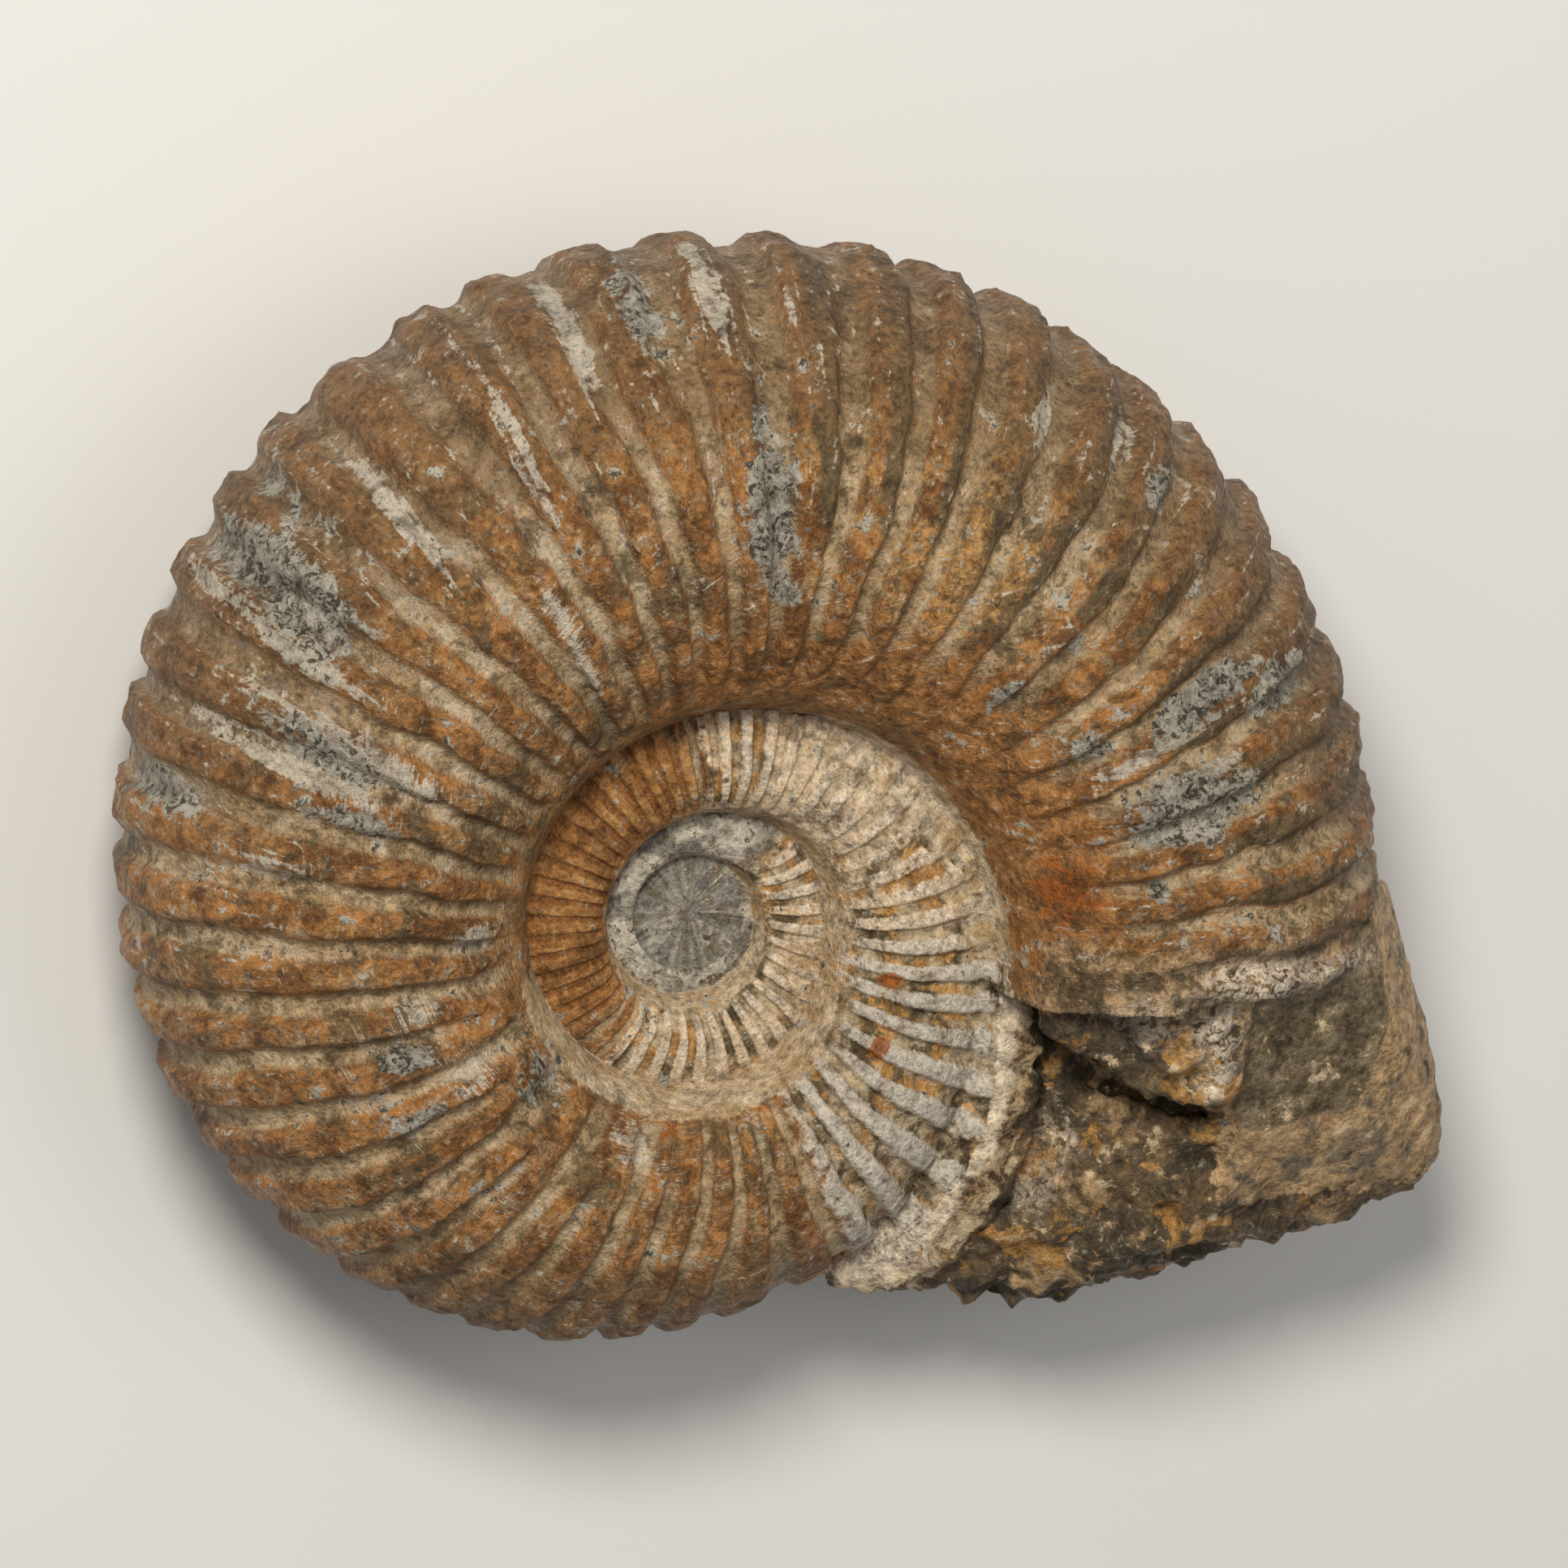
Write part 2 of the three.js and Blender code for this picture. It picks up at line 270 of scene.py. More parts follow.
def smooth_sections(angle):
    """Radius and height of every row, for each growth angle, without ribs."""
    angle = angle[:, None]
    rim = rim_radius(angle)
    venter = venter_radius(angle)
    crest = CREST_RADIUS * venter
    cover = seam_radius(angle - TURN)
    foot = seam_radius(angle)
    foot_height = flank_height(foot, angle + TURN)
    up = np.linspace(0, 1, WALL_ROWS, endpoint=False)
    wall_r = foot + (rim - foot) * up
    wall_z = foot_height + (RIM_HEIGHT * rim - foot_height) * up
    out = np.linspace(0, 1, FLANK_ROWS + 1)
    flank_r = rim + (cover - rim) * out
    flank_z = flank_height(flank_r, angle)
    start = np.arccos(np.clip((cover - crest) / (venter - crest), 0, 1) ** (VENTER_POWERS[0] / 2))
    around = start * (1 - 2 * np.arange(1, VENTER_ROWS) / VENTER_ROWS)
    venter_r = crest + (venter - crest) * np.cos(around) ** (2 / VENTER_POWERS[0])
    rounded = np.sign(around) * np.abs(np.sin(around)) ** (2 / VENTER_POWERS[1])
    venter_z = HALF_BREADTH * venter * rounded
    upper_r = np.concatenate([wall_r, flank_r], 1)
    upper_z = np.concatenate([wall_z, flank_z], 1)
    for _ in range(RIM_ROUNDING):
        rows = slice(1, 2 * WALL_ROWS)
        for line in (upper_r, upper_z):
            line[:, rows] = (line[:, 0:2 * WALL_ROWS - 1] + 2 * line[:, rows]
                             + line[:, 2:2 * WALL_ROWS + 1]) / 4
    r = np.concatenate([upper_r, venter_r, upper_r[:, ::-1]], 1)
    z = np.concatenate([upper_z, venter_z, -upper_z[:, ::-1]], 1)
    return r, z


# ---- Ribs ---------------------------------------------------------------------------------

def how_far_out(angle, r):
    """0 at the umbilical rim and 1 at the venter."""
    rim = rim_radius(angle)
    return (r - rim) / (venter_radius(angle) - rim)


COUNTED_ANGLES = np.arange(RIB_SPACING[0][0], RIB_SPACING[-1][0])
RIBS_COUNTED = np.cumsum(1 / np.interp(COUNTED_ANGLES, *zip(*RIB_SPACING)))


def rib_phase(angle, r):
    """Counts ribs back from the mouth. A whole number is a crest."""
    lean = np.interp(angle, *zip(*RIB_LEAN))
    along = angle - lean * (how_far_out(angle, r) - 0.5)
    first = np.interp(FIRST_RIB, COUNTED_ANGLES, RIBS_COUNTED)
    return np.interp(along, COUNTED_ANGLES, RIBS_COUNTED) - first


def rib_shape(phase):
    """A broad crest and a narrower groove."""
    return smoothstep(-0.9, 0.4, np.cos(2 * np.pi * phase))


def along_and_across(angle, r):
    """Distance along the ribs and across them, both in roughly millimetres."""
    return r, 0.6 * np.clip(r / 30, 0.2, 1.2) * angle


def rib_height(angle, r, place):
    """Height of the ribs above the groove floor, from 0 to 1, and how strongly they stand there."""
    flat = place * [1, 1, 0.3]
    wander = 0.19 * lattice_noise(flat, 9.0, 11) + 0.10 * rough_noise(flat, 2.6, 14, 2)
    phase = rib_phase(angle, r) + wander
    out = how_far_out(angle, r)
    paired = between(*PAIRED_RIBS, angle)
    forks_at = FORK_AT + 0.12 * lattice_noise(flat, 7.0, 12)
    paired = paired * smoothstep(forks_at + 0.16, forks_at - 0.1, out)
    single = rib_shape(phase)
    height = single + (rib_shape((phase + 0.5) / 2) - single) * paired
    starts_at = RIB_START + LATE_START * between(*LATE_RIBS, angle)
    strength = np.interp(angle, *zip(*RIB_STRENGTH)) * smoothstep(0.0, starts_at, out)
    uneven = 1 + 0.35 * lattice_noise(place, 11.0, 13) + 0.3 * lattice_noise(place, 4.0, 15)
    return height, strength * uneven


# ---- Shell --------------------------------------------------------------------------------

def close_with_rings(vertices, faces, loop, middle, shares):
    """Closes a hole with rings drawn in towards its middle, and one last face."""
    outline = np.array([vertices[v] for v in loop])
    for share in shares:
        ring = list(range(len(vertices), len(vertices) + len(loop)))
        vertices.extend(middle + (outline - middle) * share)
        faces.extend(zip(loop, loop[1:] + loop[:1], ring[1:] + ring[:1], ring))
        loop = ring
    faces.append(loop)


def edge_share(count):
    """1 in the first column, at the broken mouth, and 0 from JAG_COLUMNS back."""
    return np.clip(1 - np.arange(count) / JAG_COLUMNS, 0, 1)[:, None]


def rough_stone(angle, r, z, place, height):
    """How far the shell's surface stands out for its own roughness, before it is scaled."""
    grain = rough_noise(place, 6.0, 21, 3)
    lumps = rough_noise(place, 2.4, 26, 2)
    pits = rough_noise(place, 1.1, 31, 2)
    along, across = along_and_across(angle[:, None], r)
    stretched = np.stack([along / FIBRE_LENGTH, across, z / FIBRE_LENGTH], -1)
    fibres = rough_noise(stretched, 1.1, 36, 3)
    return (GRAIN_HEIGHT * grain + LUMP_HEIGHT * lumps * (0.4 + height) + PIT_HEIGHT * pits
            + FIBRE_HEIGHT * fibres * (0.3 + height))


def ribbed_sections(angle):
    """Radius and height of every row with ribs and wear, and each point's place before them."""
    r, z = smooth_sections(angle)
    azimuth = np.radians(angle)[:, None]
    place = np.stack([r * np.cos(azimuth), r * np.sin(azimuth), z], -1)
    height, strength = rib_height(angle[:, None], r, place)
    scale = venter_radius(angle)[:, None] / VENTER_RADII[1]
    push = RIB_HEIGHT * scale * strength * (height - 0.5)
    coarse = rough_stone(angle, r, z, place, height)
    on_flank = smoothstep(-0.02, 0.12, (r / rim_radius(angle)[:, None]) - 1)
    push = push + coarse * (0.35 + 0.65 * on_flank) * np.clip(scale, 0.3, 1)
    push = push - MOUTH_WEAR * edge_share(len(angle)) ** 2 * on_flank

    along_r = np.gradient(r, axis=1)
    along_z = np.gradient(z, axis=1)
    length = np.hypot(along_r, along_z) + 1e-9
    r = r - push * along_z / length
    z = z + push * along_r / length
    worn = smoothstep(CORE_RADIUS + 0.3, CORE_RADIUS, r)
    z = z + (CORE_HEIGHT * np.sign(z) - z) * worn
    return r, z, place


def stand_walls(rows):
    """The foot of each wall is the point of the next whorl in that it stands on."""
    rows[:-COLUMNS_PER_TURN, 0] = rows[COLUMNS_PER_TURN:, UPPER_FOOT]
    rows[:-COLUMNS_PER_TURN, -1] = rows[COLUMNS_PER_TURN:, LOWER_FOOT]


def shell_points(angle):
    """Every point of the shell by column and row, with the broken mouth ragged."""
    r, z, place = ribbed_sections(angle)
    stand_walls(r)
    stand_walls(z)
    slant = np.interp(how_far_out(angle[0], r[0]), (0, 0.45, 1), MOUTH_SLANT)
    jag = slant + JAG_ANGLE * rough_noise(place[0], 5.0, 41, 3)
    jag[[0, -1]] = 0
    turned = np.radians(angle[:, None] + edge_share(len(angle)) * jag)
    return np.stack([r * np.cos(turned), r * np.sin(turned), z], -1)


def shell_index(columns):
    """Numbers the points: shared ones alike, and none where the next whorl out covers them."""
    owned = np.ones((columns + 1, LAST_ROW + 1), bool)
    owned[COLUMNS_PER_TURN + 1:, UPPER_FOOT:LOWER_FOOT + 1] = False
    owned[COLUMNS_PER_TURN, [UPPER_FOOT, LOWER_FOOT]] = False
    index = np.full(owned.shape, -1)
    index[owned] = np.arange(owned.sum())
    index[COLUMNS_PER_TURN:, UPPER_FOOT] = index[:columns + 1 - COLUMNS_PER_TURN, 0]
    index[COLUMNS_PER_TURN:, LOWER_FOOT] = index[:columns + 1 - COLUMNS_PER_TURN, -1]
    return index, owned


def shell_faces(index):
    a = index[:-1, :-1]
    b = index[:-1, 1:]
    c = index[1:, 1:]
    d = index[1:, :-1]
    shown = np.ones(a.shape, bool)
    shown[COLUMNS_PER_TURN:, UPPER_FOOT:LOWER_FOOT] = False
    return np.stack([a[shown], b[shown], c[shown], d[shown]], -1).tolist()


def shell_object():
    columns = TURNS * COLUMNS_PER_TURN
    step = TURN / COLUMNS_PER_TURN
    points = shell_points(MOUTH_ANGLE + step * np.arange(columns + COLUMNS_PER_TURN + 1))
    index, owned = shell_index(columns)
    vertices = list(points[:columns + 1][owned])
    faces = shell_faces(index)

    # The mouth is closed across its broken section.
    loop = index[COLUMNS_PER_TURN, UPPER_FOOT + 1:LOWER_FOOT].tolist() + index[0, ::-1].tolist()
    mouth = math.radians(MOUTH_ANGLE)
    middle = MOUTH_MIDDLE * np.array([math.cos(mouth), math.sin(mouth), 0])
    close_with_rings(vertices, faces, loop, middle, MOUTH_RINGS)

    # The worn centre of the coil is closed on each side.
    turn = slice(columns - COLUMNS_PER_TURN, columns + 1)
    upper = index[turn, 0].tolist() + index[columns, 1:UPPER_FOOT].tolist()
    lower = index[turn, -1].tolist() + index[columns, LAST_ROW - 1:LOWER_FOOT:-1].tolist()
    close_with_rings(vertices, faces, upper, np.array([0, 0, CORE_HEIGHT]), CORE_RINGS)
    close_with_rings(vertices, faces, lower[::-1], np.array([0, 0, -CORE_HEIGHT]), CORE_RINGS)
    return make_object("shell", vertices, faces)


# ---- Rock ---------------------------------------------------------------------------------

# Corners, about the coil axis, of the lumps of rock that filled the body chamber.
CHAMBER_FILL = [
    (40.0, 2.0, 16.6), (51.0, 1.5, 9.8), (54.3, -11.5, 9.0), (52.5, -18.5, 8.0),
    (40.7, -17.4, 11.0), (54.6, 0.0, 3.5), (57.6, -11.0, 3.5), (59.5, -19.0, 2.5),
    (59.7, -23.0, 1.5), (57.5, -25.6, 1.0), (49.8, -26.3, 2.5), (45.7, -28.5, 1.5),
    (52.0, 1.0, -8.0), (57.0, -14.0, -8.0), (56.5, -22.0, -7.0), (47.0, -26.0, -9.0),
    (40.0, 2.0, -14.5), (40.0, -20.0, -12.5), (30.0, 2.0, -12.0), (30.0, -16.0, -10.0),
    (30.0, 2.0, 6.0), (31.0, -16.0, 4.0),
]
INNER_BLOCK = [
    (24.6, 0.0, 14.8), (33.0, 1.0, 18.3), (41.0, 0.0, 17.1), (39.8, -14.0, 13.6),
    (34.4, -13.6, 13.4), (27.2, -10.0, 12.8), (24.3, -6.0, 11.4),
    (26.0, 2.0, 4.0), (41.0, 2.0, 4.0), (38.0, -10.0, 6.0), (27.5, -7.0, 6.0),
]
LOWER_BLOCK = [
    (25.5, -9.0, 5.0), (36.0, -12.0, 7.5), (42.0, -20.0, 9.5), (38.5, -26.0, 7.0),
    (29.6, -29.5, 4.5), (21.5, -28.0, 3.2), (46.5, -28.0, 1.2), (31.0, -32.2, 0.5),
    (29.3, -33.0, -0.4), (22.9, -32.3, -0.4), (13.4, -29.5, 0.0), (9.5, -28.5, 0.3),
    (43.0, -25.0, -10.0), (30.0, -30.0, -8.0), (14.0, -27.0, -6.0),
    (20.0, -8.0, -9.0), (34.0, 0.0, -12.0), (16.0, -20.0, -4.0),
]
# The hollow that undercuts the inner block.
UNDERCUT = [
    (24.6, -9.5, 10.8), (31.0, -12.6, 11.0), (39.5, -16.6, 10.6), (38.5, -12.0, 8.0),
    (28.0, -6.5, 8.5), (25.2, -12.5, 5.5), (32.0, -16.0, 5.0), (39.0, -18.0, 6.5),
    (33.0, -8.0, 5.0),
]
# The lip left by the broken outer whorl runs along this line.
RIDGE_CREST = np.array([
    (21.6, 2.5, 8.6), (22.5, -5.8, 8.2), (22.4, -10.4, 7.9), (21.9, -15.1, 7.4), (20.7, -19.1, 6.8),
    (18.6, -22.6, 6.0), (16.0, -25.5, 5.0), (12.9, -27.9, 3.6), (9.5, -28.8, 2.0),
])
RIDGE_WIDTH = 3.7
RIDGE_HEIGHT = 1.8
RIDGE_OUTWARD = 0.3    # the bar's middle lies this far outside its crest line
RIDGE_RIB_SPACING = 0.95
LIP_ARC = 27.0         # turns the azimuth along the lip into a length
RIDGE_SIDES = 20
RIDGE_STEPS = 90
ROCK_VOXEL = 0.42
# How far the rough rock and its smooth faces rise and fall, in millimetres.
ROUGH_LUMPS = 1.3
ROUGH_EDGES = 1.2
ROUGH_CRUMBS = 0.7
SMOOTH_LUMPS = 0.2
SMOOTH_CRUMBS = 0.15
FAN_HEIGHT = 0.1       # the fine ribs on the lip's outer slope
LIP_RIB_HEIGHT = 0.9   # the shell's ribs where they run up to the lip


def lump_object(name, corners):
    shape = bmesh.new()
    for corner in corners:
        shape.verts.new(corner)
    bmesh.ops.convex_hull(shape, input=shape.verts)
    loose = [v for v in shape.verts if not v.link_faces]
    bmesh.ops.delete(shape, geom=loose, context="VERTS")
    bmesh.ops.recalc_face_normals(shape, faces=shape.faces)
    mesh = bpy.data.meshes.new(name)
    shape.to_mesh(mesh)
    shape.free()
    obj = bpy.data.objects.new(name, mesh)
    bpy.context.scene.collection.objects.link(obj)
    return obj


def ridge_object():
    """A flattened bar along the lip, tapered at both ends."""
    along = np.linspace(0, len(RIDGE_CREST) - 1, RIDGE_STEPS)
    centre = np.stack([smooth_through(RIDGE_CREST[:, k], along) for k in range(3)], -1)
    tangent = np.gradient(centre, axis=0)
    tangent /= np.linalg.norm(tangent, axis=1)[:, None]
    side = np.cross([0, 0, 1], tangent)
    side /= np.linalg.norm(side, axis=1)[:, None]
    up = np.cross(tangent, side)
    taper = np.sin(np.pi * np.linspace(0.25, 0.86, RIDGE_STEPS))[:, None, None]
    centre = centre + side * RIDGE_OUTWARD - up * RIDGE_HEIGHT * 0.7
    turn = np.linspace(0, 2 * np.pi, RIDGE_SIDES, endpoint=False)[None, :, None]
    rings = centre[:, None] + taper * (RIDGE_WIDTH * np.cos(turn) * side[:, None]
                                       + RIDGE_HEIGHT * np.sin(turn) * up[:, None])
    corner = np.arange(RIDGE_STEPS * RIDGE_SIDES).reshape(RIDGE_STEPS, RIDGE_SIDES)
    beside = np.roll(corner, -1, axis=1)
    faces = np.stack([corner[:-1], beside[:-1], beside[1:], corner[1:]], -1).reshape(-1, 4).tolist()
    faces += [corner[0, ::-1].tolist(), corner[-1].tolist()]
    return make_object("ridge", rings.reshape(-1, 3), faces)


FACET_CORNERS = np.array([(40.5, 1.0), (51.0, 2.0), (53.0, -9.0), (50.5, -16.5), (40.5, -17.0)])


def inside_facet(co):
    """How far in from the edges of the smooth broken face of the chamber fill, in millimetres."""
    inside = np.full(len(co), 100.0)
    for start, end in zip(FACET_CORNERS, np.roll(FACET_CORNERS, -1, axis=0)):
        line = (end - start) / np.linalg.norm(end - start)
        offset = co[:, :2] - start
        inside = np.minimum(inside, offset[:, 1] * -line[0] + offset[:, 0] * line[1])
    return inside


def smooth_rock(co):
    """1 where the rock broke smoothly, 0 where it is rough."""
    return smoothstep(38.5, 41.0, co[:, 0]) * smoothstep(-26.0, -22.5, co[:, 1])


def rock_object():
    rock = lump_object("rock", CHAMBER_FILL)
    combine(rock, lump_object("inner", INNER_BLOCK), "UNION")
    combine(rock, lump_object("lower", LOWER_BLOCK), "UNION")
    combine(rock, ridge_object(), "UNION")
    combine(rock, lump_object("undercut", UNDERCUT), "DIFFERENCE")
    remesh = rock.modifiers.new("remesh", "REMESH")
    remesh.mode = "VOXEL"
    remesh.voxel_size = ROCK_VOXEL
    soften = rock.modifiers.new("soften", "SMOOTH")
    soften.iterations = 3
    soften.factor = 0.5
    apply_modifiers(rock)

    co = vertex_array(rock.data)
    normal = normal_array(rock.data)
    ridge_near = np.exp(-(distance_to(co, RIDGE_CREST) / 3.2) ** 2)
    rough = (1 - 0.85 * smooth_rock(co)) * (1 - 0.75 * ridge_near)
    lumps = rough_noise(co, 6.0, 51, 3)
    edges = 0.5 - np.abs(rough_noise(co, 4.0, 55, 3)) * 2
    crumbs = rough_noise(co, 1.5, 58, 3)
    outside = smoothstep(0.6, -0.6, inside_crest(co))
    fan = ridge_near * outside * np.cos(2 * np.pi * ridge_place(co) / RIDGE_RIB_SPACING)
    _, angle, r = whorl_place(co)
    height, strength = rib_height(angle, r, co)
    ribs = ridge_near * (1 - outside) * strength * (height - 0.5)
    push = rough * (ROUGH_LUMPS * lumps + ROUGH_EDGES * edges + ROUGH_CRUMBS * crumbs)
    push = push + SMOOTH_LUMPS * lumps + SMOOTH_CRUMBS * crumbs
    push = push + FAN_HEIGHT * fan + LIP_RIB_HEIGHT * ribs
    set_vertices(rock.data, co + normal * push[:, None])
    return rock


def inside_crest(co):
    """How far inside the crest line of the lip each point lies, in millimetres."""
    azimuth = np.degrees(np.arctan2(co[:, 1], co[:, 0]))
    crest = RIDGE_CREST[::-1]
    crest_azimuth = np.degrees(np.arctan2(crest[:, 1], crest[:, 0]))
    crest_radius = np.interp(azimuth, crest_azimuth, np.hypot(crest[:, 0], crest[:, 1]))
    return crest_radius - np.hypot(co[:, 0], co[:, 1])


def ridge_place(points):
    """How far along the lip each point is, in millimetres, with a little wander."""
    azimuth = np.arctan2(points[:, 1], points[:, 0])
    return azimuth * LIP_ARC + 0.5 * lattice_noise(points, 2.0, 61)


def distance_to(points, corners):
    """Distance from each point to the nearest place on a line through the corners."""
    best = np.full(len(points), np.inf)
    for start, end in zip(corners[:-1], corners[1:]):
        line = end - start
        t = np.clip((points - start) @ line / (line @ line), 0, 1)
        best = np.minimum(best, np.linalg.norm(points - start - t[:, None] * line, axis=1))
    return best


# ---- The whole stone ----------------------------------------------------------------------

ROCK_MATERIAL = 1


def rest_rotation():
    """Turns the lower flank's crest plane level."""
    normal = Vector((-REST_SLOPE[0], -REST_SLOPE[1], 1)).normalized()
    return normal.rotation_difference(Vector((0, 0, 1))).to_matrix()


def stone_object():
    """Shell and rock as one closed mesh, with the rock's faces marked."""
    shell = shell_object()
    rock = rock_object()
    marker = bpy.data.materials.new("marker")
    for obj in (shell, rock):
        obj.data.materials.append(marker)
        obj.data.materials.append(marker)
    rock.data.polygons.foreach_set("material_index", [ROCK_MATERIAL] * len(rock.data.polygons))
    combine(shell, rock, "UNION")
    return shell


def rock_share(mesh):
    """How much of the surface round each vertex is rock, from 0 to 1."""
    face_is_rock = np.empty(len(mesh.polygons), np.int32)
    mesh.polygons.foreach_get("material_index", face_is_rock)
    sizes = np.empty(len(mesh.polygons), np.int32)
    mesh.polygons.foreach_get("loop_total", sizes)
    corner = np.empty(len(mesh.loops), np.int32)
    mesh.loops.foreach_get("vertex_index", corner)
    value = np.repeat(face_is_rock.astype(float), sizes)
    total = np.bincount(corner, weights=value, minlength=len(mesh.vertices))
    count = np.bincount(corner, minlength=len(mesh.vertices))
    return total / np.maximum(count, 1)


def whorl_place(co):
    """Azimuth, growth angle and distance from the coil axis of the whorl seen at each point."""
    r = np.hypot(co[:, 0], co[:, 1])
    azimuth = (np.degrees(np.arctan2(co[:, 1], co[:, 0])) - MOUTH_ANGLE) % TURN + MOUTH_ANGLE
    past_mouth = (azimuth > TURN + MOUTH_ANGLE - 12) & (np.abs(co[:, 2]) > 11)
    azimuth = azimuth - TURN * past_mouth
    whorl = sum((r < seam_radius(azimuth + TURN * n)).astype(int) for n in range(TURNS + 1))
    return azimuth, azimuth + TURN * whorl, r


# Patches that stand out: azimuth, radius, half length along the ribs, half width, strength.
SLATE_PATCHES = [
    (87.6, 35.5, 5.4, 2.1, 1.0), (88.5, 43.0, 3.0, 1.0, 0.7), (17.5, 36.0, 5.6, 2.9, 1.0),
    (28.2, 40.5, 5.5, 1.6, 1.0), (138.8, 45.0, 6.5, 2.6, 1.0), (24.5, 46.6, 2.8, 2.2, 1.0),
    (98.0, 50.2, 2.6, 1.8, 0.8), (150.8, 37.5, 6.0, 1.6, 0.7), (162.0, 45.3, 2.4, 1.3, 0.9),
    (30.5, 30.5, 2.0, 1.4, 0.8), (193.2, 27.0, 2.6, 1.2, 0.8), (204.0, 27.5, 2.0, 0.9, 0.7),
    (46.2, 48.2, 1.8, 1.3, 0.9), (157.0, 33.0, 4.5, 1.2, 0.6), (132.8, 49.6, 3.5, 1.4, 0.6),
    (8.0, 32.0, 0.9, 0.8, 1.0), (43.5, 34.5, 1.2, 0.7, 0.8), (46.0, 28.5, 2.0, 0.8, 0.7),
    (85.0, 29.5, 1.6, 1.4, 0.7), (211.0, 17.8, 2.6, 2.0, 0.6),
]
CHALK_PATCHES = [
    (91.2, 50.7, 4.0, 1.1, 1.0), (104.2, 49.9, 4.0, 1.1, 1.0), (149.0, 35.5, 8.5, 1.4, 1.0),
    (173.2, 20.8, 2.0, 1.1, 1.0), (126.2, 44.2, 6.0, 1.0, 0.9), (154.0, 38.7, 7.0, 1.2, 1.0),
    (59.5, 47.0, 1.6, 1.0, 1.0), (20.7, 36.5, 5.6, 0.6, 1.0), (26.2, 35.5, 5.5, 0.7, 1.0),
    (143.0, 43.5, 8.0, 1.2, 0.9), (118.0, 30.0, 6.0, 0.8, 0.8), (51.0, 49.0, 1.4, 0.9, 0.8),
    (166.0, 37.0, 3.0, 1.2, 0.7), (200.0, 22.5, 2.0, 2.0, 0.6), (186.0, 25.0, 2.0, 1.5, 0.6),
    (113.0, 44.0, 7.0, 0.8, 0.7), (243.0, 17.0, 1.5, 2.0, 0.8), (9.0, 27.0, 1.2, 0.8, 0.6),
]
OCHRE_PATCHES = [
    (62.0, 36.5, 9.0, 8.0, 1.0), (80.0, 39.0, 7.0, 4.0, 0.8), (120.0, 34.0, 3.0, 2.0, 0.7),
]
RED_PATCHES = [
    (9.0, 25.6, 2.2, 2.8, 1.0), (-17.5, 13.9, 0.9, 0.8, 1.0), (-37.0, 15.1, 0.8, 0.9, 1.0),
    (253.0, 15.3, 0.6, 0.8, 0.8),
]
CRYSTAL_PATCHES = [
    (-5.0, 41.0, 6.0, 1.8, 1.0), (-4.5, 49.0, 3.0, 0.9, 0.9), (-12.0, 38.5, 2.0, 3.0, 1.0),
    (-17.5, 39.8, 1.3, 2.6, 1.0), (-11.0, 33.0, 4.0, 2.5, 0.5), (-33.0, 33.0, 2.0, 1.0, 0.8),
    (-62.0, 30.0, 3.5, 4.0, 0.9), (-40.0, 34.0, 1.5, 2.5, 0.6),
]


# Growth angles between which each look of the shell lies: begins, is full, fades, ends.
LOOKS = {
    "white": (283, 300, 435, 475),
    "teeth": (580, 600, 760, 775),
    "bluish": (270, 300, 345, 370),
    "dusty": (380, 395, 425, 440),
    "brown": (440, 480, 560, 590),
    "pale": (95, 110, 158, 168),
    "rusty": (-20, 0, 90, 125),
    # Painted shade: the lee sides of the ribs by the mouth.
    "rib_shade_span": (-20, -5, 75, 100),
    # Painted shade: the venter's outer edge at the top, and in the next span at the lower left.
    "stain_and_shade": (-10, 30, 150, 172),
    "lower_venter_shade": (215, 235, 275, 290),
}
# The wall is painted cream only where it faces the light: partly its own pale stone, partly painted
# light.
LIT_WALL_AT = 305     # azimuth about which the umbilical wall is cream
SEAM_BAND = (-3.0, -1.7, 0.5, 1.2)   # millimetres out from the seam
SEAM_BEARINGS = (-60, -20, 50, 85)
LIP_BEARINGS = (-75, -68, 0, 10)


def patches(co, list_of_patches):
    """How far each point lies inside the nearest patch, on the upper side only."""
    total = np.zeros(len(co))
    for azimuth, radius, long, wide, strength in list_of_patches:
        a = math.radians(azimuth)
        across = co[:, 1] * math.cos(a) - co[:, 0] * math.sin(a)
        along = co[:, 0] * math.cos(a) + co[:, 1] * math.sin(a) - radius
        bell = np.exp(-((along / long) ** 2 + (across / wide) ** 2) ** 1.5)
        total = np.maximum(total, strength * bell)
    return total * smoothstep(-1, 3, co[:, 2])


